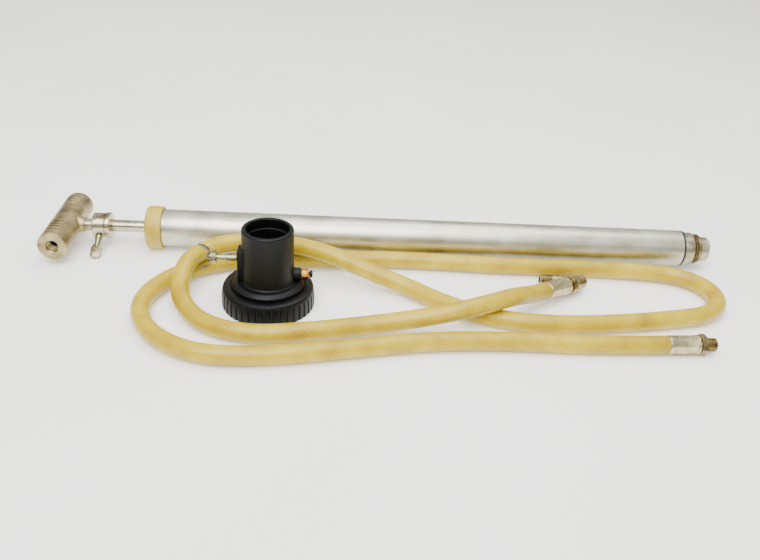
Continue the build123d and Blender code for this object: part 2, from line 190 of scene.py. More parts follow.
def start_at(x, y, z):
    """New mesh in edit mode with one selected vertex, placed in millimetres."""
    only(None)
    bpy.ops.mesh.primitive_plane_add(size=MM, enter_editmode=True, location=(0, 0, 0))
    bpy.ops.mesh.select_mode(type="VERT")
    bpy.ops.mesh.merge(type="CENTER")
    bpy.ops.transform.translate(value=(x * MM, y * MM, z * MM))


def trace(points):
    """New mesh in edit mode with a line through points of the XZ plane, all selected."""
    start_at(points[0][0], 0, points[0][1])
    for here, there in zip(points, points[1:]):
        step = ((there[0] - here[0]) * MM, 0, (there[1] - here[1]) * MM)
        bpy.ops.mesh.extrude_vertices_move(TRANSFORM_OT_translate={"value": step})
    bpy.ops.mesh.select_all(action="SELECT")


def turned(points, steps=96, closed=True):
    """Turns a line about X, as on a lathe. An open line starts and ends on the axis."""
    trace(list(points) + list(points[:1]) if closed else points)
    bpy.ops.mesh.remove_doubles(threshold=1e-6)
    bpy.ops.mesh.spin(steps=steps, angle=2 * pi, center=(0, 0, 0), axis=(1, 0, 0), use_auto_merge=True)
    return weld()


def lathe(corners, steps=96, closed=True):
    """Turned piece whose outline has rounded corners."""
    return turned(outline(corners), steps, closed)


def weld():
    """Merges doubles, turns all faces outwards and leaves edit mode."""
    bpy.ops.mesh.select_all(action="SELECT")
    bpy.ops.mesh.remove_doubles(threshold=2e-6)
    bpy.ops.mesh.normals_make_consistent(inside=False)
    bpy.ops.object.mode_set(mode="OBJECT")
    return bpy.context.object


def settle(piece, place):
    """Moves a piece to its place and writes that place into its mesh."""
    only(piece)
    piece.matrix_world = place @ piece.matrix_world
    bpy.ops.object.transform_apply(location=True, rotation=True, scale=True)
    return piece


def modify(piece, kind, **settings):
    """Adds a modifier with its settings and applies it."""
    only(piece)
    modifier = piece.modifiers.new(kind.lower(), kind)
    for key, value in settings.items():
        setattr(modifier, key, value)
    bpy.ops.object.modifier_apply(modifier=modifier.name)
    return piece


def soften(piece, width, segments=2, angle=40):
    """Rounds every edge sharper than the angle; the width is in millimetres."""
    return modify(
        piece, "BEVEL", width=width * MM, segments=segments, limit_method="ANGLE", angle_limit=radians(angle)
    )


def combine(piece, tool, operation="DIFFERENCE"):
    """Cuts, joins or intersects a piece with a tool, which is used up."""
    modify(piece, "BOOLEAN", object=tool, operation=operation, solver="EXACT")
    bpy.data.objects.remove(tool)
    return piece


def merged(pieces):
    """One object of several separate shells."""
    only(pieces[0])
    for piece in pieces:
        piece.select_set(True)
    bpy.ops.object.join()
    return bpy.context.object


def block(low, high, rounding=0.0, segments=3):
    """Box between two corners in millimetres, with its edges rounded."""
    only(None)
    centre = [(a + b) / 2 * MM for a, b in zip(low, high)]
    sides = [(b - a) * MM for a, b in zip(low, high)]
    bpy.ops.mesh.primitive_cube_add(size=1, location=centre, scale=sides)
    piece = bpy.context.object
    bpy.ops.object.transform_apply(location=True, rotation=True, scale=True)
    return soften(piece, rounding, segments) if rounding else piece


def rod_shape(start, end, radius, steps=48):
    """Plain tool rod about X."""
    return turned([(start, 0), (start, radius), (end, radius), (end, 0)], steps, closed=False)


def plate(points, thickness):
    """Flat plate in the XZ plane from its outline, centred on that plane."""
    trace(points)
    bpy.ops.mesh.edge_face_add()
    return modify(weld(), "SOLIDIFY", thickness=thickness * MM, offset=0)


def prism(start, end, flats, sides, turn=0.0):
    """Regular prism about X with the given distance across its flats."""
    only(None)
    bpy.ops.mesh.primitive_cylinder_add(
        vertices=sides,
        radius=flats * MM / 2 / cos(pi / sides),
        depth=(end - start) * MM,
        location=((start + end) / 2 * MM, 0, 0),
        rotation=(0, pi / 2, 0),
    )
    return settle(bpy.context.object, Matrix.Rotation(radians(turn), 4, "X"))


def hexagon(start, end, flats, bore):
    """Chamfered hexagon with a round bore, one flat facing down."""
    chamfer = 0.55
    corner = flats / 2 / cos(pi / 6)
    barrel = turned(
        [(start, 0), (start, corner - 1.6 * chamfer), (start + chamfer, corner), (end - chamfer, corner),
         (end, corner - 1.6 * chamfer), (end, 0)], 96, closed=False
    )
    piece = combine(prism(start, end, flats, 6), barrel, "INTERSECT")
    soften(piece, 0.18, 2, 35)
    return combine(piece, rod_shape(start - 1, end + 1, bore))


def thread(start, end, root, crest, pitch, inside=False):
    """Helical ridge about X, from its root to its crest radius."""
    foot = root + 0.12 if inside else root - 0.12
    ridge = [(-0.46 * pitch, foot), (-0.07 * pitch, crest), (0.07 * pitch, crest), (0.46 * pitch, foot)]
    turns = int((end - start) / pitch - 0.9)
    first = (start + end - turns * pitch) / 2
    only(None)
    bpy.ops.mesh.primitive_plane_add(size=MM, location=(0, 0, 0))
    piece = bpy.context.object
    for vertex, (along, radius) in zip((piece.data.vertices[i] for i in (0, 1, 3, 2)), ridge):
        vertex.co = ((first + along) * MM, 0, radius * MM)
    only(piece)
    bpy.ops.object.mode_set(mode="EDIT")
    bpy.ops.mesh.select_all(action="SELECT")
    bpy.ops.mesh.delete(type="ONLY_FACE")
    bpy.ops.object.mode_set(mode="OBJECT")
    modify(piece, "SCREW", axis="X", screw_offset=pitch * MM, iterations=turns, steps=48, render_steps=48)
    bpy.ops.object.mode_set(mode="EDIT")
    bpy.ops.mesh.select_all(action="DESELECT")
    bpy.ops.mesh.select_mode(type="EDGE")
    bpy.ops.mesh.select_non_manifold()
    bpy.ops.mesh.fill_holes(sides=4)
    return weld()


def finish(piece, name, *nodes, edge=32.0, look=None):
    """Names a piece, gives it its finish and hangs it on the body of the node it stands for."""
    only(piece)
    bpy.ops.object.shade_smooth_by_angle(angle=radians(edge))
    piece.name = piece.data.name = name
    piece.data.materials.clear()
    piece.data.materials.append(made_of(look or SLOT_OF[nodes[0]]))
    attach(piece, BODY_OF[nodes[0]])
    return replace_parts(piece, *nodes)


# ---- materials -----------------------------------------------------------------------
MIX_SHARE, MIX_FROM, MIX_TO, MIX_RESULT = 0, 6, 7, 2  # colour sockets of a Mix node


def add_node(tree, kind, feeds=None, values=None, **settings):
    """Adds a shader node with its settings, its socket values and the links that feed it."""
    node = tree.nodes.new(f"ShaderNode{kind}")
    for key, value in settings.items():
        setattr(node, key, value)
    for key, value in (values or {}).items():
        node.inputs[key].default_value = value
    for key, socket in (feeds or {}).items():
        tree.links.new(socket, node.inputs[key])
    return node


def per_mm(feature):
    """Noise scale, in the frame's metres, that gives features of this many millimetres."""
    return 1 / (feature * MM)


def shader(name, **values):
    """Empty material with one principled shader; returns its tree and that shader."""
    material = bpy.data.materials.new(name)
    material.use_nodes = True
    tree = material.node_tree
    tree.nodes.clear()
    surface = add_node(tree, "BsdfPrincipled", values=values)
    add_node(tree, "OutputMaterial", {"Surface": surface.outputs["BSDF"]})
    return tree, surface


def ramp(tree, factor, stops):
    """Colour ramp of (position, sRGB hex) stops."""
    node = add_node(tree, "ValToRGB", {"Fac": factor})
    elements = node.color_ramp.elements
    while len(elements) < len(stops):
        elements.new(0.5)
    for element, (position, value) in zip(elements, stops):
        element.position = position
        element.color = linear(value) if isinstance(value, str) else value
    return node.outputs["Color"]


def worn(name, stops, patch, grain, relief, roughness, stretch=(1, 1, 1), **values):
    """Mottled finish: patches of colour and gloss, and a fine grain that also has relief.

    Patch, grain and relief are millimetres; roughness is its lowest and highest value; stretch
    squeezes the grain along each axis.
    """
    tree, surface = shader(name, **values)
    place = add_node(tree, "TexCoord").outputs["Object"]
    patches = add_node(
        tree, "TexNoise", {"Vector": place}, {"Scale": per_mm(patch), "Detail": 4.0, "Roughness": 0.6}
    )
    drawn = add_node(tree, "Mapping", {"Vector": place}, {"Scale": stretch})
    fine = add_node(
        tree, "TexNoise", {"Vector": drawn.outputs["Vector"]}, {"Scale": per_mm(grain), "Detail": 3.0}
    )
    blended = add_node(
        tree, "Mix", {"A": patches.outputs["Fac"], "B": fine.outputs["Fac"]}, {"Factor": 0.35}
    )
    tree.links.new(ramp(tree, blended.outputs["Result"], stops), surface.inputs["Base Color"])
    gloss = add_node(
        tree, "MapRange", {"Value": blended.outputs["Result"]},
        {"From Min": 0.3, "From Max": 0.7, "To Min": roughness[0], "To Max": roughness[1]},
    )
    tree.links.new(gloss.outputs["Result"], surface.inputs["Roughness"])
    bump = add_node(
        tree, "Bump", {"Height": fine.outputs["Fac"]}, {"Strength": 0.6, "Distance": relief * MM}
    )
    tree.links.new(bump.outputs["Normal"], surface.inputs["Normal"])
    return surface.id_data, surface


PLAIN_FINISHES = {
    # Drawn aluminium tube, matt: faint lines along its length and grey patches of old oxide.
    "drawn_aluminium": dict(
        name="drawn_aluminium_matt", stops=[(0.30, "#A5A28C"), (0.46, "#C7C4B0"), (0.62, "#DBD9CA")],
        patch=38.0, grain=0.9, relief=0.02, roughness=(0.30, 0.44), stretch=(0.02, 1, 1), Metallic=1.0,
    ),
    # Lathe-turned aluminium: rings round the axis and a few dull spots.
    "turned_aluminium": dict(
        name="aluminium_turned", stops=[(0.30, "#7A7058"), (0.48, "#ABA388"), (0.62, "#CFC9B2")],
        patch=9.0, grain=0.7, relief=0.02, roughness=(0.24, 0.40), stretch=(1, 0.05, 0.05), Metallic=1.0,
    ),
    # The foot's cut thread: brown sealing compound left in its roots.
    "stained_thread": dict(
        name="aluminium_thread_stained", stops=[(0.30, "#4E4029"), (0.48, "#7F6F4E"), (0.64, "#A99B78")],
        patch=5.0, grain=0.5, relief=0.02, roughness=(0.30, 0.46), Metallic=1.0,
    ),
    # Bright plated steel: mirror-like with faint polishing rings and yellowed spots.
    "plated_steel": dict(
        name="steel_bright_plated", stops=[(0.30, "#766744"), (0.44, "#A9A085"), (0.60, "#CAC3AA")],
        patch=14.0, grain=0.8, relief=0.006, roughness=(0.12, 0.26), stretch=(1, 0.04, 0.04), Metallic=1.0,
    ),
    # Zinc plated steel: soft silver-beige bloom with slightly duller patches.
    "zinc_steel": dict(
        name="steel_zinc_plated", stops=[(0.30, "#857A58"), (0.46, "#B8AC84"), (0.62, "#DACFA6")],
        patch=6.0, grain=0.5, relief=0.012, roughness=(0.22, 0.38), Metallic=1.0,
    ),
    # Zinc plated screws: a darker copy of the ferrules' zinc, with painted shade in its colour for their dark
    # outlines, and a little glossier.
    "zinc_darkened_for_shade": dict(
        name="steel_zinc_handled", stops=[(0.30, "#4C4634"), (0.46, "#8A8164"), (0.62, "#B3AA8A")],
        patch=5.0, grain=0.5, relief=0.012, roughness=(0.20, 0.34), Metallic=1.0,
    ),
    # Turned stainless steel: cool grey with fine rings.
    "stainless": dict(
        name="stainless_turned", stops=[(0.30, "#8F9090"), (0.50, "#B4B5B4"), (0.65, "#CDCDCB")],
        patch=7.0, grain=0.4, relief=0.008, roughness=(0.16, 0.28), Metallic=1.0,
    ),
    # Turned brass, handled: orange-gold with brown tarnish.
    "brass": dict(
        name="brass_turned", stops=[(0.28, "#754A14"), (0.44, "#BC7F28"), (0.62, "#E0AE50")],
        patch=3.5, grain=0.4, relief=0.01, roughness=(0.22, 0.40), Metallic=1.0,
    ),
    # Yellow passivated zinc: golden brown drifting to violet-brown.
    "yellow_zinc": dict(
        name="zinc_yellow_passivated", stops=[(0.28, "#5E4E42"), (0.44, "#8C7C58"), (0.60, "#BBAA70")],
        patch=8.0, grain=0.6, relief=0.012, roughness=(0.22, 0.38), Metallic=1.0,
    ),
    # Turned PTFE: waxy white.
    "ptfe": dict(
        name="ptfe_turned", stops=[(0.30, "#D9D7CE"), (0.50, "#E9E8E2"), (0.66, "#F2F1ED")],
        patch=5.0, grain=0.5, relief=0.01, roughness=(0.40, 0.52), IOR=1.38,
    ),
    # Moulded nitrile rubber: dull black with a grey bloom.
    "nitrile": dict(
        name="nitrile_moulded", stops=[(0.30, "#121211"), (0.52, "#1C1C1A"), (0.70, "#2C2B27")],
        patch=4.0, grain=0.4, relief=0.02, roughness=(0.60, 0.80), IOR=1.52,
    ),
}


def cast_aluminium():
    """Tumbled sand casting: warm grey, softly grained, with painted shade that darkens its hollows."""
    tree, surface = worn(
        "cast_aluminium_tumbled",
        [(0.30, "#65573A"), (0.45, "#9C8B64"), (0.60, "#C2B286")],
        patch=16.0, grain=1.1, relief=0.05, roughness=(0.34, 0.52), Metallic=1.0,
    )
    plain = surface.inputs["Base Color"].links[0].from_socket
    # Painted shade: the deeper a point lies in a groove, the nearer its colour goes to dark brown #2E2617.
    painted_hollow_shade = add_node(tree, "Attribute", attribute_name="painted_hollow_shade").outputs["Fac"]
    hollow_shaded = add_node(
        tree, "Mix", {MIX_SHARE: painted_hollow_shade, MIX_FROM: plain}, {MIX_TO: linear("#2E2617")}, data_type="RGBA"
    )
    tree.links.new(hollow_shaded.outputs[MIX_RESULT], surface.inputs["Base Color"])
    return tree, surface


def nylon():
    """Moulded nylon, aged to a warm yellow: soft gloss and a little light carried inside."""
    tree, surface = worn(
        "nylon_moulded_aged",
        [(0.30, "#A58510"), (0.48, bpy.context.scene.transfer_pump_finish.nylon), (0.66, "#D2B94C")],
        patch=18.0, grain=0.8, relief=0.02, roughness=(0.38, 0.52), IOR=1.53,
    )
    surface.inputs["Subsurface Weight"].default_value = 0.25
    surface.inputs["Subsurface Radius"].default_value = (0.003, 0.002, 0.001)
    surface.inputs["Subsurface Scale"].default_value = 1.0
    return tree, surface


def black_plastic():
    """Moulded black polypropylene: satin skin, scuffed lighter here and there, dusty in the pores."""
    return worn(
        "polypropylene_black_satin",
        [(0.30, "#030404"), (0.50, bpy.context.scene.transfer_pump_finish.plastic), (0.68, "#0C0E0E")],
        patch=22.0, grain=0.55, relief=0.035, roughness=(0.34, 0.50), IOR=1.49,
        **{"Specular IOR Level": 0.22},
    )


def crossed_yarns(tree, turns, along, lean):
    """Height of one set of yarns, 0 to 1, wound one way round the hose."""
    hose = bpy.context.scene.transfer_pump_hose
    slope = add_node(
        tree, "Math", {0: along}, {1: lean * hose.yarns / hose.lay}, operation="MULTIPLY"
    )
    laid = add_node(
        tree, "Math", {0: turns, 2: slope.outputs[0]}, {1: float(hose.yarns)}, operation="MULTIPLY_ADD"
    )
    phase = add_node(tree, "Math", {0: laid.outputs[0]}, {1: 2 * pi}, operation="MULTIPLY")
    wave = add_node(tree, "Math", {0: phase.outputs[0]}, operation="COSINE")
    return add_node(
        tree, "MapRange", {"Value": wave.outputs[0]},
        {"From Min": 0.45, "From Max": 1.0, "To Min": 0.0, "To Max": 1.0}, interpolation_type="SMOOTHSTEP",
    ).outputs["Result"]


def pvc_hose():
    """Clear plasticised PVC over a polyester braid: glossy, honey-yellow and cloudy with age.

    The braid shows as paler crossing yarns under the cover; near both fittings oil has stained
    the compound a darker gold.
    """
    hose = bpy.context.scene.transfer_pump_hose
    tree, surface = shader(
        "pvc_clear_braided",
        **{"IOR": 1.53, "Specular IOR Level": 0.35, "Roughness": 0.27, "Coat Weight": 0.12,
           "Coat Roughness": 0.08, "Subsurface Weight": 0.15, "Subsurface Scale": 1.0},
    )
    surface.inputs["Subsurface Radius"].default_value = (0.004, 0.004, 0.0015)
    lay = add_node(tree, "UVMap", uv_map="lay").outputs["UV"]
    split = add_node(tree, "SeparateXYZ", {"Vector": lay})
    yarns = [crossed_yarns(tree, split.outputs["X"], split.outputs["Y"], lean) for lean in (1, -1)]
    braid = add_node(tree, "Math", {0: yarns[0], 1: yarns[1]}, operation="MAXIMUM").outputs[0]
    place = add_node(tree, "TexCoord").outputs["Object"]
    cloud = add_node(
        tree, "TexNoise", {"Vector": place}, {"Scale": per_mm(30.0), "Detail": 3.0}
    ).outputs["Fac"]
    compound = ramp(tree, cloud, [(0.30, "#A48402"), (0.50, hose.body_colour), (0.70, "#CFB424")])
    share = add_node(tree, "Math", {0: braid}, {1: 0.32}, operation="MULTIPLY").outputs[0]
    braided = add_node(
        tree, "Mix", {MIX_SHARE: share, MIX_FROM: compound}, {MIX_TO: hose.yarn_colour},
        data_type="RGBA",
    ).outputs[MIX_RESULT]
    ends = add_node(tree, "UVMap", uv_map="ends").outputs["UV"]
    from_end = add_node(tree, "SeparateXYZ", {"Vector": ends}).outputs["X"]
    stain = add_node(
        tree, "MapRange", {"Value": from_end},
        {"From Min": 0.004, "From Max": 0.035, "To Min": 0.6, "To Max": 0.0},
    ).outputs["Result"]
    stained = add_node(
        tree, "Mix", {MIX_SHARE: stain, MIX_FROM: braided}, {MIX_TO: linear("#86700E")},
        data_type="RGBA",
    ).outputs[MIX_RESULT]
    tree.links.new(stained, surface.inputs["Base Color"])
    bump = add_node(tree, "Bump", {"Height": braid}, {"Strength": 0.5, "Distance": 0.15 * MM})
    tree.links.new(bump.outputs["Normal"], surface.inputs["Normal"])
    return tree, surface


MAKERS = {
    "cast_aluminium": cast_aluminium, "nylon": nylon, "black_plastic": black_plastic,
    "pvc_hose": pvc_hose,
}
made = {}


def made_of(slot):
    """The material of a record slot, made once."""
    if slot not in made:
        tree = (MAKERS[slot]() if slot in MAKERS else worn(**PLAIN_FINISHES[slot]))[0]
        made[slot] = next(m for m in bpy.data.materials if m.node_tree == tree)
    return made[slot]


# ---- the pump ------------------------------------------------------------------------
class Maker:
    """What every operator here shares."""

    bl_options = {"REGISTER", "UNDO"}

    @property
    def sizes(self):
        return bpy.context.scene.transfer_pump_sizes


class TRANSFERPUMP_OT_barrel(Maker, bpy.types.Operator):
    """Drawn barrel tube with a slightly broken edge at each end"""

    bl_idname = "transferpump.barrel"
    bl_label = "Barrel"

    def execute(self, context):
        start, end = along_pump("barrel_tube")
        outer = self.sizes.barrel_radius / MM
        bore = outer - self.sizes.barrel_wall / MM
        tube = lathe([(start, bore), (start, outer, 0.4), (end, outer, 0.8), (end, bore)], 160)
        finish(settle(tube, ON_PUMP), "barrel_drawn_tube", "barrel_tube")
        return {"FINISHED"}


class TRANSFERPUMP_OT_cap(Maker, bpy.types.Operator):
    """Moulded top cap: broad rounded rim, recessed face round the rod, relief beside the tube"""

    bl_idname = "transferpump.cap"
    bl_label = "Top cap"

    def execute(self, context):
        start, end = along_pump("top_cap")
        outer = self.sizes.cap_radius / MM
        rod = self.sizes.rod_radius / MM
        tube = self.sizes.barrel_radius / MM
        cap = lathe([
            (start, rod + 0.4, 0.2), (start, 14.0, 0.3), (start + 0.4, 14.6, 0.3), (start + 0.4, 18.0, 0.4),
            (start, 18.6, 0.4), (start, outer, 3.0), (end, outer, 0.9), (end, tube + 0.6, 0.3),
            (end - 1.2, tube + 0.05), (4, tube + 0.05), (4, 9.5), (1.5, 9.5), (1.5, rod + 0.4),
        ], 144)
        finish(settle(cap, ON_PUMP), "cap_moulding", "top_cap")
        return {"FINISHED"}


class TRANSFERPUMP_OT_foot(Maker, bpy.types.Operator):
    """Foot valve body with a cut pipe thread, run-out groove and chamfered nose"""

    bl_idname = "transferpump.foot"
    bl_label = "Foot valve body"

    def execute(self, context):
        spigot, tip = along_pump("foot_valve_body")
        bore = self.sizes.barrel_radius / MM - self.sizes.barrel_wall / MM - 0.05
        body = lathe([
            (spigot, 9.5), (spigot, bore), (568.5, bore), (568.5, 15.6), (571.5, 15.6), (571.5, bore),
            (586.5, bore), (586.5, 19.0, 0.4), (589.0, 19.0, 0.5), (589.0, 17.9), (589.6, 17.9),
            (589.6, 18.0, 0.05), (597.0, 18.0, 0.9), (597.0, 14.8), (606.2, 14.8), (606.2, 13.5, 0.3),
            (tip - 2.5, 13.5, 0.5), (tip, 11.0, 0.4), (tip, 6.0, 0.5), (594.0, 6.0), (594.0, 9.5),
        ], 144)
        pin_hole = settle(rod_shape(-20, 20, 1.25), Matrix.Translation((575 * MM, 0, 0)) @ UPRIGHT)
        combine(body, pin_hole)
        finish(settle(body, ON_PUMP), "foot_valve_turning", "foot_valve_body")
        root = turned([(597.5, 14.7), (597.5, 15.2), (606.0, 15.2), (606.0, 14.7)], 144)
        ridge = thread(597.5, 606.0, 15.2, 16.62, self.sizes.foot_pitch / MM)
        threaded = settle(merged([root, ridge]), ON_PUMP)
        finish(threaded, "foot_valve_thread", "foot_valve_body", look="stained_thread")
        return {"FINISHED"}


class TRANSFERPUMP_OT_rod(Maker, bpy.types.Operator):
    """Hollow piston rod"""

    bl_idname = "transferpump.rod"
    bl_label = "Rod"

    def execute(self, context):
        start, end = along_pump("rod_tube")
        outer = self.sizes.rod_radius / MM
        rod = lathe([(start, 4.0), (start, outer, 0.3), (end, outer, 0.3), (end, 4.0)], 96)
        finish(settle(rod, ON_PUMP), "rod_plated", "rod_tube")
        return {"FINISHED"}


class TRANSFERPUMP_OT_handle(Maker, bpy.types.Operator):
    """Cast cross handle: finger grooves on the palm side, flared boss and threaded outlet port"""

    bl_idname = "transferpump.handle"
    bl_label = "Cross handle"

    def execute(self, context):
        centre = -86.0
        half = 53.0
        radius = self.sizes.handle_radius / MM
        port = 5.9
        way = 4.0
        across = Matrix.Translation((centre * MM, 0, 0)) @ Matrix.Rotation(pi / 2, 4, "Z")
        bar = lathe([
            (0, 0), (0, way), (-39, way), (-39, port), (1.3 - half, port), (-half, port + 1.3),
            (-half, radius, 1.4), (half, radius, 7.0), (half, 0),
        ], 128, closed=False)
        settle(bar, across)
        boss = lathe([
            (centre, 0), (centre, 9.5), (-74, 9.4, 6), (-70.5, 8.0, 4), (-66, 7.4, 0.8), (-66, 0),
        ], 96, closed=False)
        combine(bar, boss, "UNION")
        socket = turned(
            [(centre, 0), (centre, way), (-78, way), (-78, 6.6), (-60, 6.6), (-60, 0)], 64, closed=False
        )
        combine(bar, socket)
        fingers = (-45, -39, -33, -27, -21, 21, 27, 33, 39)
        combine(bar, merged([self.groove(centre, radius, place) for place in fingers]))
        modify(bar, "REMESH", mode="VOXEL", voxel_size=0.5 * MM)
        modify(bar, "SMOOTH", factor=0.5, iterations=2)
        # Groove depths drive the painted shade in the handle's finish.
        self.paint_hollow_shade(bar, centre, radius)
        ridge = thread(1.8 - half, -40, port + 0.1, port - 0.7, self.sizes.hose_pitch / MM, inside=True)
        settle(ridge, across)
        finish(settle(merged([bar, ridge]), ON_PUMP), "handle_casting", "t_handle", edge=60)
        return {"FINISHED"}

    def paint_hollow_shade(self, bar, centre, radius):
        """Writes how deep each vertex lies below the bar's surface, for the painted shade in its finish."""
        depths = bar.data.attributes.new("painted_hollow_shade", "FLOAT", "POINT").data
        for vertex, depth in zip(bar.data.vertices, depths):
            across, along, up = vertex.co / MM
            below = radius - 0.25 - Vector((across - centre, up)).length
            beside_boss = 16 < abs(along) < 50.5
            depth.value = max(0.0, min(1.0, below / 0.9)) if beside_boss else 0.0

    def groove(self, centre, radius, place):
        """One ring that cuts a finger groove, deeper on the palm side."""
        only(None)
        away = radians(-28)
        shift = 2.4
        section = self.sizes.finger_groove / MM
        bpy.ops.mesh.primitive_torus_add(
            location=((centre + shift * cos(away)) * MM, place * MM, shift * sin(away) * MM),
            rotation=(pi / 2, 0, 0), major_radius=(radius + section + 0.3) * MM,
            minor_radius=section * MM, major_segments=96, minor_segments=16,
        )
        bpy.ops.object.transform_apply(location=True, rotation=True, scale=True)
        return bpy.context.object


class TRANSFERPUMP_OT_collar(Maker, bpy.types.Operator):
    """Stop collar with a relief groove beside its flange"""

    bl_idname = "transferpump.collar"
    bl_label = "Stop collar"

    def execute(self, context):
        start, end = along_pump("stop_collar")
        flange = half_height("stop_collar")
        body = flange - 1.4
        step = end - 5.0
        bore = self.sizes.rod_radius / MM + 0.05
        collar = lathe([
            (start, bore + 0.5), (start, body, 1.0), (step - 1.0, body, 0.3), (step - 1.0, body - 1.3),
            (step, body - 1.3), (step, flange - 0.5, 0.6), (end, flange - 0.5, 1.0), (end, bore + 0.5),
            (end - 0.5, bore), (start + 0.5, bore),
        ], 128)
        settle(collar, ON_PUMP)
        combine(collar, settle(rod_shape(8, 20, 3.1), THUMB_AXIS))
        finish(collar, "collar_turning", "stop_collar")
        return {"FINISHED"}


class TRANSFERPUMP_OT_thumb_screw(Maker, bpy.types.Operator):
    """Thumb screw: thread in the collar, tapering neck and a flat rounded paddle; brass pad below"""

    bl_idname = "transferpump.thumb_screw"
    bl_label = "Thumb screw"

    def execute(self, context):
        shank = lathe([
            (9.7, 0), (9.7, 2.5, 0.3), (14.5, 2.5), (14.5, 4.0, 0.7), (19.5, 3.2, 4.0),
            (25.5, 2.5, 3.0), (28.0, 2.6, 0.4), (28.0, 0),
        ], 64, closed=False)
        ridge = thread(9.8, 14.6, 2.4, 3.0, self.sizes.screw_pitch / MM)
        paddle = plate(outline([
            (22.0, -2.4), (29.5, -6.0, 6.0), (41.0, -5.0, 3.2), (41.0, 5.0, 3.2), (29.5, 6.0, 6.0),
            (22.0, 2.4),
        ]), 2.4)
        soften(paddle, 0.7, 3, 50)
        screw = settle(merged([shank, ridge, paddle]), THUMB_AXIS)
        # The thumb screw takes the darker zinc whose colour holds painted shade.
        finish(screw, "thumb_screw_pressed", "thumb_screw", look="zinc_darkened_for_shade")
        pad = lathe([(6.7, 0), (6.7, 2.9, 0.4), (9.7, 2.9, 0.4), (9.7, 0)], 48, closed=False)
        finish(settle(pad, THUMB_AXIS), "thumb_pad_turning", "thumb_pad")
        return {"FINISHED"}


# ---- the drum adapter ----------------------------------------------------------------
class TRANSFERPUMP_OT_adapter(Maker, bpy.types.Operator):
    """Adapter moulding: tube, shoulder with a soft fillet, clamp boss and vent boss"""

    bl_idname = "transferpump.adapter"
    bl_label = "Adapter body"

    def execute(self, context):
        low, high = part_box("adapter_body")
        bottom, top = low.z / MM, high.z / MM
        tube = lathe([
            (bottom, 20.4), (bottom, 24.0), (16.6, 24.0), (16.6, 24.9), (21.8, 24.9), (21.8, 35.0, 0.4),
            (24.2, 35.0, 1.6), (27.0, 30.6, 2.4), (27.0, 24.9, 2.2), (top, 24.9, 1.9), (top, 20.4, 1.4),
            (72.4, 20.4), (72.4, 23.4), (69.4, 23.4), (69.4, 20.4),
        ], 160)
        settle(tube, UPRIGHT)
        boss = block((-29.0, -8.0, 26.0), (-22.0, 8.0, 60.0), 1.6)
        combine(tube, boss, "UNION")
        vent = lathe([(22.5, 0), (22.5, 6.4), (32.0, 6.4, 0.9), (32.0, 0)], 64, closed=False)
        combine(tube, settle(vent, VENT_AXIS), "UNION")
        combine(tube, settle(rod_shape(-30, -23.9, 5.0), CLAMP_AXIS))
        combine(tube, settle(rod_shape(-30, -18, 3.05), CLAMP_AXIS))
        combine(tube, settle(rod_shape(18, 33, 2.5), VENT_AXIS))
        finish(settle(tube, ON_ADAPTER), "adapter_moulding", "adapter_body")
        return {"FINISHED"}


class TRANSFERPUMP_OT_ring_nut(Maker, bpy.types.Operator):
    """Grip ring nut: sloping shoulder, raised lip and forty arched grip slots; thread inside"""

    bl_idname = "transferpump.ring_nut"
    bl_label = "Grip ring nut"

    def execute(self, context):
        low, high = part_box("ring_nut")
        outer = (high.x - low.x) / 2 / MM
        top = high.z / MM
        nut = lathe([
            (0, 30.9, 0.4), (0, outer - 0.6, 0.8), (2.0, outer, 1.0), (12.0, outer - 0.2),
            (18.4, outer - 1.0, 3),
            (20.4, outer - 2.0, 0.6), (21.4, outer - 4.8, 1.5), (top, 36.6, 1.0), (top - 0.6, 35.8, 0.5),
            (top - 0.6, 25.3), (17.0, 25.3), (17.0, 31.0), (10.4, 31.0), (10.4, 30.9),
        ], 240)
        settle(nut, UPRIGHT)
        slots = 40
        combine(nut, merged([self.slot(outer, 2 * pi * step / slots) for step in range(slots)]))
        soften(nut, 0.35, 2, 50)
        ridge = settle(thread(0.6, 10.2, 30.95, 30.5, 3.0, inside=True), UPRIGHT)
        finish(settle(merged([nut, ridge]), ON_ADAPTER), "ring_nut_moulding", "ring_nut")
        return {"FINISHED"}

    def slot(self, outer, turn):
        """One upright slot cutter with a domed top."""
        cutter = turned(
            [Vector((-1.0, 0)), Vector((-1.0, 1.4))]
            + [Vector((17.0 + 1.4 * sin(a), 1.4 * cos(a))) for a in (0, pi / 8, pi / 4, 3 * pi / 8)]
            + [Vector((18.4, 0))],
            16, closed=False,
        )
        place = Matrix.Rotation(turn, 4, "Z") @ Matrix.Translation(((outer - 0.35) * MM, 0, 0)) @ UPRIGHT
        return settle(cutter, place)


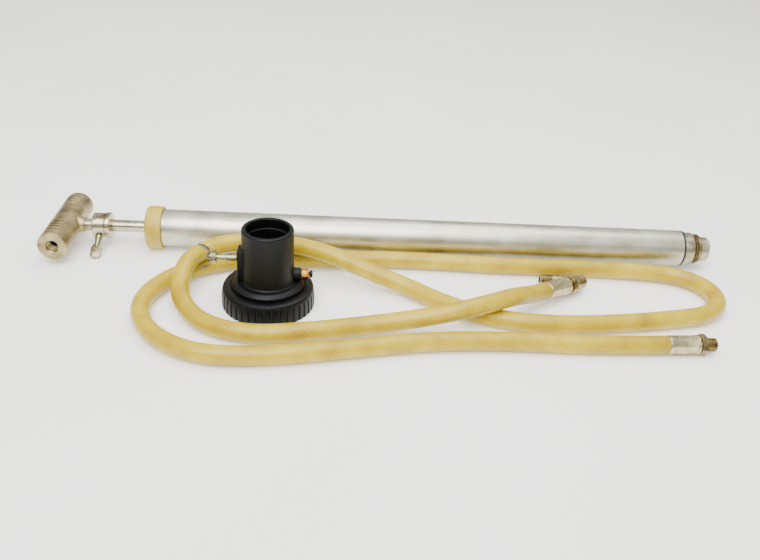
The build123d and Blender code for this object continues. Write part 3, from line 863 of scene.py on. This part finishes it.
class TRANSFERPUMP_OT_clamp(Maker, bpy.types.Operator):
    """Clamp screw: stud, lock nut and pressed wing nut, with its brass insert and pad"""

    bl_idname = "transferpump.clamp"
    bl_label = "Clamp screw"

    def execute(self, context):
        place = ON_ADAPTER @ CLAMP_AXIS
        pitch = self.sizes.screw_pitch / MM
        root, crest = 2.6, 3.0
        shank = lathe([
            (-56, 0), (-56, root), (-50, root), (-50, crest), (-31, crest, 0.2), (-31, root),
            (-24, root, 0.4), (-24, 0),
        ], 64, closed=False)
        stud = merged([
            shank, thread(-31, -24.2, root, crest, pitch), thread(-56, -49.8, root, crest, pitch)
        ])
        # Stud, lock nut and wing nut take the darker zinc whose colour holds painted shade.
        finish(settle(stud, place), "clamp_stud_turning", "clamp_stud", look="zinc_darkened_for_shade")
        nut = settle(hexagon(-53, -49, 11.0, crest), place)
        finish(nut, "clamp_lock_nut_hexagon", "clamp_lock_nut", look="zinc_darkened_for_shade")
        hub = lathe([
            (-58, crest), (-58, 4.4, 0.6), (-54.2, 5.6, 0.6), (-53, 5.6, 0.3), (-53, crest),
        ], 64)
        upper = self.wing(1)
        lower = self.wing(-1)
        finish(settle(merged([hub, upper, lower]), place), "wing_nut_pressed", "wing_nut", look="zinc_darkened_for_shade")
        insert = lathe([(-29, 3.05), (-29, 5.0, 0.3), (-24, 5.0), (-24, 3.05)], 64)
        finish(settle(insert, place), "clamp_insert_turning", "clamp_insert")
        pad = lathe([(-24, 0), (-24, 2.95, 0.3), (-21, 2.95, 0.5), (-21, 0)], 48, closed=False)
        finish(settle(pad, place), "clamp_pad_turning", "clamp_pad")
        return {"FINISHED"}

    def wing(self, side):
        """One pressed wing that curls away from the hub, above it or below it."""
        spine = [(-54.2, 4.4), (-55.6, 7.2), (-58.4, 9.9), (-62.0, 11.6), (-65.9, 12.8)]
        widths = [5.6, 6.4, 6.6, 6.0, 3.6]
        thickness = 1.3
        start_at(spine[0][0], -widths[0] / 2, side * spine[0][1])
        bpy.ops.mesh.extrude_vertices_move(TRANSFORM_OT_translate={"value": (0, widths[0] * MM, 0)})
        bpy.ops.mesh.select_all(action="SELECT")
        for here, there, before, after in zip(spine, spine[1:], widths, widths[1:]):
            move = ((there[0] - here[0]) * MM, 0, side * (there[1] - here[1]) * MM)
            bpy.ops.mesh.extrude_edges_move(TRANSFORM_OT_translate={"value": move})
            bpy.ops.transform.resize(value=(1, after / before, 1))
        wing = modify(weld(), "SOLIDIFY", thickness=thickness * MM, offset=0)
        soften(wing, 0.35, 2, 60)
        return modify(wing, "SUBSURF", levels=2, render_levels=2)


class TRANSFERPUMP_OT_vent(Maker, bpy.types.Operator):
    """Brass vent fitting with its black release sleeve"""

    bl_idname = "transferpump.vent"
    bl_label = "Vent"

    def execute(self, context):
        place = ON_ADAPTER @ VENT_AXIS
        stub = lathe([(24.6, 1.5), (24.6, 2.5), (32.0, 2.5), (32.0, 1.5)], 48)
        fitting = merged([stub, hexagon(32.0, 39.0, 10.0, 2.2)])
        finish(settle(fitting, place), "vent_fitting_turning", "vent_fitting")
        sleeve = lathe([
            (35.0, 1.2), (35.0, 2.15), (40.3, 2.15), (40.3, 3.6, 0.3), (43.0, 3.6, 0.6), (43.0, 1.2, 0.3),
        ], 64)
        finish(settle(sleeve, place), "vent_sleeve_moulding", "vent_sleeve")
        return {"FINISHED"}


# ---- the hose ------------------------------------------------------------------------
# Centre line of the hose in metres, from the fitting over the nipple to the far one.
ROUTE = [
    (0.15933, -0.04357, 0.01646), (0.143, -0.055, 0.0185), (0.120, -0.077, 0.0292),
    (0.081, -0.099, 0.0292), (0.033, -0.105, 0.019), (-0.015, -0.106, 0.0102),
    (-0.074, -0.121, 0.0102), (-0.130, -0.131, 0.0102), (-0.177, -0.115, 0.0102),
    (-0.205, -0.074, 0.0125), (-0.204, -0.036, 0.0292), (-0.188, -0.005, 0.0292),
    (-0.156, 0.015, 0.0292), (-0.108, 0.013, 0.0292), (-0.065, -0.003, 0.0292),
    (-0.025, -0.022, 0.021), (0.017, -0.035, 0.0115), (0.055, -0.066, 0.0102),
    (0.106, -0.092, 0.0102), (0.172, -0.096, 0.0102), (0.235, -0.088, 0.0102),
    (0.284, -0.078, 0.0102), (0.319, -0.069, 0.0102), (0.341, -0.046, 0.0102),
    (0.340, -0.014, 0.0102), (0.316, 0.009, 0.0102), (0.276, 0.016, 0.0102),
    (0.208, 0.018, 0.0102), (0.122, 0.017, 0.0102), (0.032, 0.022, 0.0102),
    (-0.052, 0.019, 0.0102), (-0.117, 0.014, 0.0102), (-0.176, 0.002, 0.0102),
    (-0.221, -0.031, 0.0102), (-0.242, -0.081, 0.0102), (-0.224, -0.131, 0.0102),
    (-0.176, -0.164, 0.0102), (-0.112, -0.162, 0.0102), (-0.043, -0.148, 0.0102),
    (0.031, -0.131, 0.0102), (0.114, -0.126, 0.0102), (0.192, -0.128, 0.0095),
    (0.25951, -0.12331, 0.0095),
]


def spline_points(route):
    """Points of the smooth line that has the route as its control points."""
    curve = bpy.data.curves.new("hose_line", "CURVE")
    curve.dimensions = "3D"
    curve.resolution_u = 12
    spline = curve.splines.new("NURBS")
    spline.points.add(len(route) - 1)
    for point, place in zip(spline.points, route):
        point.co = (*place, 1)
    spline.order_u = 3
    spline.use_endpoint_u = True
    holder = bpy.data.objects.new("hose_line", curve)
    mesh = bpy.data.meshes.new_from_object(holder)
    points = [vertex.co.copy() for vertex in mesh.vertices]
    bpy.data.objects.remove(holder)
    bpy.data.curves.remove(curve)
    bpy.data.meshes.remove(mesh)
    return points


def tube_along(points, radius, sides):
    """Closed tube round a line, with its turns and lengths in the UV maps lay and ends."""
    only(None)
    lengths = [0.0]
    for here, there in zip(points, points[1:]):
        lengths.append(lengths[-1] + (there - here).length)
    side = Vector((0, 0, 1))
    verts = []
    for index, point in enumerate(points):
        ahead = (points[min(index + 1, len(points) - 1)] - points[max(index - 1, 0)]).normalized()
        side = (side - ahead * side.dot(ahead)).normalized()
        other = ahead.cross(side)
        for step in range(sides):
            turn = 2 * pi * step / sides
            verts.append(point + (side * cos(turn) + other * sin(turn)) * radius)
    faces = []
    for ring in range(len(points) - 1):
        for step in range(sides):
            onward = (step + 1) % sides
            faces.append((
                ring * sides + step, ring * sides + onward,
                (ring + 1) * sides + onward, (ring + 1) * sides + step,
            ))
    last = (len(points) - 1) * sides
    faces.append(tuple(reversed(range(sides))))
    faces.append(tuple(range(last, last + sides)))
    mesh = bpy.data.meshes.new("hose_tube")
    mesh.from_pydata(verts, [], faces)
    lay = mesh.uv_layers.new(name="lay")
    ends = mesh.uv_layers.new(name="ends")
    for face in mesh.polygons:
        columns = [mesh.loops[loop].vertex_index % sides for loop in face.loop_indices]
        wraps = max(columns) - min(columns) > sides / 2
        for loop, column in zip(face.loop_indices, columns):
            along = lengths[mesh.loops[loop].vertex_index // sides]
            turn = column / sides + (1 if wraps and column == 0 else 0)
            lay.data[loop].uv = (turn, along)
            ends.data[loop].uv = (min(along, lengths[-1] - along), 0)
    piece = bpy.data.objects.new("hose_tube", mesh)
    bpy.context.scene.collection.objects.link(piece)
    return piece, lengths[-1]


def hose_end(here, inside):
    """Frame whose X points out of the hose at one of its ends."""
    origin = Vector(here)
    outwards = (origin - Vector(inside)).normalized()
    side = Vector((0, 0, 1)).cross(outwards).normalized()
    turn = Matrix((outwards, side, outwards.cross(side))).transposed().to_4x4()
    return Matrix.Translation(origin) @ turn


FERRULE = 30.5  # length of a ferrule in millimetres


def crimped_ferrule():
    """Ferrule with eight crimped flats between two round rolled collars."""
    end = FERRULE
    sleeve = lathe([(0, 6.0), (0, 9.4, 0.9), (end, 9.4, 0.9), (end, 6.0)], 96)
    flats = combine(rod_shape(3.2, end - 3.2, 12), prism(3.0, end - 3.0, 17.4, 8, 22.5))
    combine(sleeve, flats)
    return soften(sleeve, 0.22, 2, 35)


def hose_tail(neck, stub, pitch):
    """Tail of a hose fitting: barb, neck, chamfered hexagon and threaded stub."""
    first = FERRULE + neck
    last = first + 6.0
    bore = 3.5
    root, crest = 5.7, 6.56
    barb = lathe([
        (4, bore), (4, 5.6), (7, 5.95), (7.4, 5.6), (FERRULE - 0.1, 5.6), (FERRULE, 7.6, 0.3),
        (first + 0.2, 7.6), (first + 0.2, bore),
    ], 64)
    nose = lathe([
        (last - 0.2, bore), (last - 0.2, root), (last + stub, root, 0.5), (last + stub, bore),
    ], 64)
    ridge = thread(last + 0.2, last + stub - 0.2, root, crest, pitch)
    return merged([barb, hexagon(first, last, 18.4, bore), nose, ridge])


class TRANSFERPUMP_OT_hose(Maker, bpy.types.Operator):
    """Braided hose on its whole route, with the fittings crimped on both ends"""

    bl_idname = "transferpump.hose"
    bl_label = "Hose"

    def execute(self, context):
        diameter = context.scene.transfer_pump_hose.diameter
        pitch = self.sizes.hose_pitch / MM
        line = spline_points(ROUTE)
        tube, total = tube_along(line, diameter / 2, 40)
        finish(tube, "hose_braided", "hose", edge=60)
        near = hose_end(ROUTE[0], ROUTE[1])
        far = hose_end(ROUTE[-1], ROUTE[-2])
        fittings = [
            finish(settle(crimped_ferrule(), near), "near_ferrule_crimped", "ferrule_a"),
            finish(settle(hose_tail(3.0, 10.0, pitch), near), "near_tail_turning", "tail_a"),
            finish(settle(self.socket(), near), "near_socket_turning", "sleeve_a"),
            finish(settle(crimped_ferrule(), far), "far_ferrule_crimped", "ferrule_b"),
            finish(settle(hose_tail(0.5, 11.0, pitch), far), "far_tail_turning", "tail_b"),
        ]
        return {"FINISHED"}

    def socket(self):
        """Threaded socket on the near stub, with a turned band and a lip at its mouth."""
        start = FERRULE + 9.0
        mouth = start + 16.5
        return lathe([
            (start, 6.63), (start, 8.0, 0.5), (start + 9.0, 7.9, 0.3), (start + 9.4, 7.6),
            (start + 10.2, 7.6),
            (start + 10.6, 7.85, 0.3), (mouth - 3.0, 7.7, 0.6), (mouth, 7.2, 0.5), (mouth, 5.9, 0.3),
            (start + 10.0, 5.9), (start + 10.0, 6.63),
        ], 96)


class TRANSFERPUMP_OT_nipple(Maker, bpy.types.Operator):
    """Loose nipple with a threaded end and a turned ring"""

    bl_idname = "transferpump.nipple"
    bl_label = "Nipple"

    def execute(self, context):
        low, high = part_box("adapter_nipple")
        span = (high.x - low.x) / MM
        half = span / 2
        body = lathe([
            (0, 3.5), (0, 5.1, 0.4), (half - 2, 5.1), (half - 2, 6.0, 0.3), (half - 1, 6.0), (half - 1, 5.5),
            (half + 2, 5.5), (half + 2, 6.0, 0.3), (half + 5, 6.0, 0.3), (half + 5, 5.6), (span, 5.6, 0.5),
            (span, 3.5),
        ], 96)
        ridge = thread(0.3, half - 2.2, 5.1, 5.97, self.sizes.hose_pitch / MM)
        place = Matrix.Translation((low.x, (low.y + high.y) / 2, (low.z + high.z) / 2))
        finish(settle(merged([body, ridge]), place), "nipple_turning", "adapter_nipple")
        return {"FINISHED"}


class TRANSFERPUMP_OT_inner_parts(Maker, bpy.types.Operator):
    """Finishes for the seals, balls, piston and other pieces that keep their CAD shape"""

    bl_idname = "transferpump.inner_parts"
    bl_label = "Inner parts"

    def execute(self, context):
        for node, piece in frame["nodes"].items():
            if not piece.hide_render:
                piece.data.materials.clear()
                piece.data.materials.append(made_of(SLOT_OF[node]))
        return {"FINISHED"}


# ---- the stage -----------------------------------------------------------------------
class TRANSFERPUMP_OT_stage(Maker, bpy.types.Operator):
    """Pale table, soft studio lights and the camera"""

    bl_idname = "transferpump.stage"
    bl_label = "Stage"

    def execute(self, context):
        tree, surface = shader("table_paper_white", **{"Roughness": 0.9, "Emission Strength": 0.3})
        place = add_node(tree, "TexCoord").outputs["Object"]
        tone = add_node(tree, "TexNoise", {"Vector": place}, {"Scale": per_mm(400.0)}).outputs["Fac"]
        finish_colour = context.scene.transfer_pump_finish.floor
        tree.links.new(ramp(tree, tone, [(0.3, finish_colour), (0.7, "#FFFFFF")]), surface.inputs["Base Color"])
        surface.inputs["Emission Color"].default_value = finish_colour
        only(None)
        bpy.ops.mesh.primitive_plane_add(size=24, location=(0, 0, 0))
        table = bpy.context.object
        table.name = "table"
        table.data.materials.append(next(m for m in bpy.data.materials if m.node_tree == tree))
        self.sky(context)
        self.softbox("key_softbox", (-0.35, -1.0, 1.7), 1.5, 60)
        self.softbox("top_softbox", (0.3, 0.35, 1.9), 1.4, 26)
        self.camera(context)
        return {"FINISHED"}

    def sky(self, context):
        world = bpy.data.worlds.new("studio")
        context.scene.world = world
        world.use_nodes = True
        background = world.node_tree.nodes["Background"]
        tree = world.node_tree
        ahead = add_node(tree, "TexCoord").outputs["Generated"]
        height = add_node(tree, "SeparateXYZ", {"Vector": ahead}).outputs["Z"]
        glow = ramp(tree, height, [(0.0, "#8E8A78"), (0.22, "#B9B5A4"), (0.50, "#FFFDF6"), (1.0, "#FFFFFF")])
        tree.links.new(glow, background.inputs["Color"])
        background.inputs["Strength"].default_value = 1.1

    def softbox(self, name, place, size, power):
        """Square area light aimed at the middle of the object."""
        light = bpy.data.lights.new(name, "AREA")
        light.size = size
        light.energy = power
        lamp = bpy.data.objects.new(name, light)
        lamp.location = place
        lamp.rotation_mode = "QUATERNION"
        lamp.rotation_quaternion = (-Vector(place)).to_track_quat("-Z", "Y")
        bpy.context.scene.collection.objects.link(lamp)

    def camera(self, context):
        """Camera half a metre above the table, looking down over the adapter."""
        heading, dip, roll = radians(3.574), radians(30.27), radians(3.947)
        ahead = Vector((sin(heading) * cos(dip), cos(heading) * cos(dip), -sin(dip)))
        level = Vector((cos(heading), -sin(heading), 0))
        above = level.cross(ahead)
        right = level * cos(roll) + above * sin(roll)
        up = above * cos(roll) - level * sin(roll)
        data = bpy.data.cameras.new("camera")
        data.sensor_width = 36.0
        data.lens = 38.83
        camera = bpy.data.objects.new("camera", data)
        turn = Matrix((right, up, -ahead)).transposed().to_4x4()
        place = Vector((-0.0538, -0.7494, 0.4348))
        camera.matrix_world = Matrix.Translation(place) @ turn
        context.scene.collection.objects.link(camera)
        context.scene.camera = camera


# ---- panel and registration ----------------------------------------------------------
STEPS = (
    TRANSFERPUMP_OT_stage, TRANSFERPUMP_OT_hose, TRANSFERPUMP_OT_barrel, TRANSFERPUMP_OT_cap,
    TRANSFERPUMP_OT_foot, TRANSFERPUMP_OT_rod, TRANSFERPUMP_OT_handle, TRANSFERPUMP_OT_collar,
    TRANSFERPUMP_OT_thumb_screw, TRANSFERPUMP_OT_adapter, TRANSFERPUMP_OT_ring_nut,
    TRANSFERPUMP_OT_clamp, TRANSFERPUMP_OT_vent, TRANSFERPUMP_OT_nipple,
    TRANSFERPUMP_OT_inner_parts,
)


class TRANSFERPUMP_PT_panel(bpy.types.Panel):
    """Sidebar panel with every size, colour and step"""

    bl_idname = "TRANSFERPUMP_PT_panel"
    bl_label = "Transfer pump"
    bl_space_type = "VIEW_3D"
    bl_region_type = "UI"
    bl_category = "Pump"

    def draw(self, context):
        for group in ("transfer_pump_sizes", "transfer_pump_hose", "transfer_pump_finish"):
            settings = getattr(context.scene, group)
            box = self.layout.box()
            for name in settings.__annotations__:
                box.prop(settings, name)
        for step in STEPS:
            self.layout.operator(step.bl_idname)


GROUPS = {
    "transfer_pump_sizes": TransferPumpSizes,
    "transfer_pump_hose": TransferPumpHose,
    "transfer_pump_finish": TransferPumpFinish,
}


def register():
    for name, group in GROUPS.items():
        bpy.utils.register_class(group)
        setattr(bpy.types.Scene, name, PointerProperty(type=group))
    for made_class in (*STEPS, TRANSFERPUMP_PT_panel):
        bpy.utils.register_class(made_class)


def unregister():
    for made_class in reversed((*STEPS, TRANSFERPUMP_PT_panel)):
        bpy.utils.unregister_class(made_class)
    for name, group in GROUPS.items():
        delattr(bpy.types.Scene, name)
        bpy.utils.unregister_class(group)


def main():
    register()
    for step in STEPS:
        getattr(bpy.ops.transferpump, step.bl_idname.split(".")[1])()


if __name__ == "__main__":
    main()
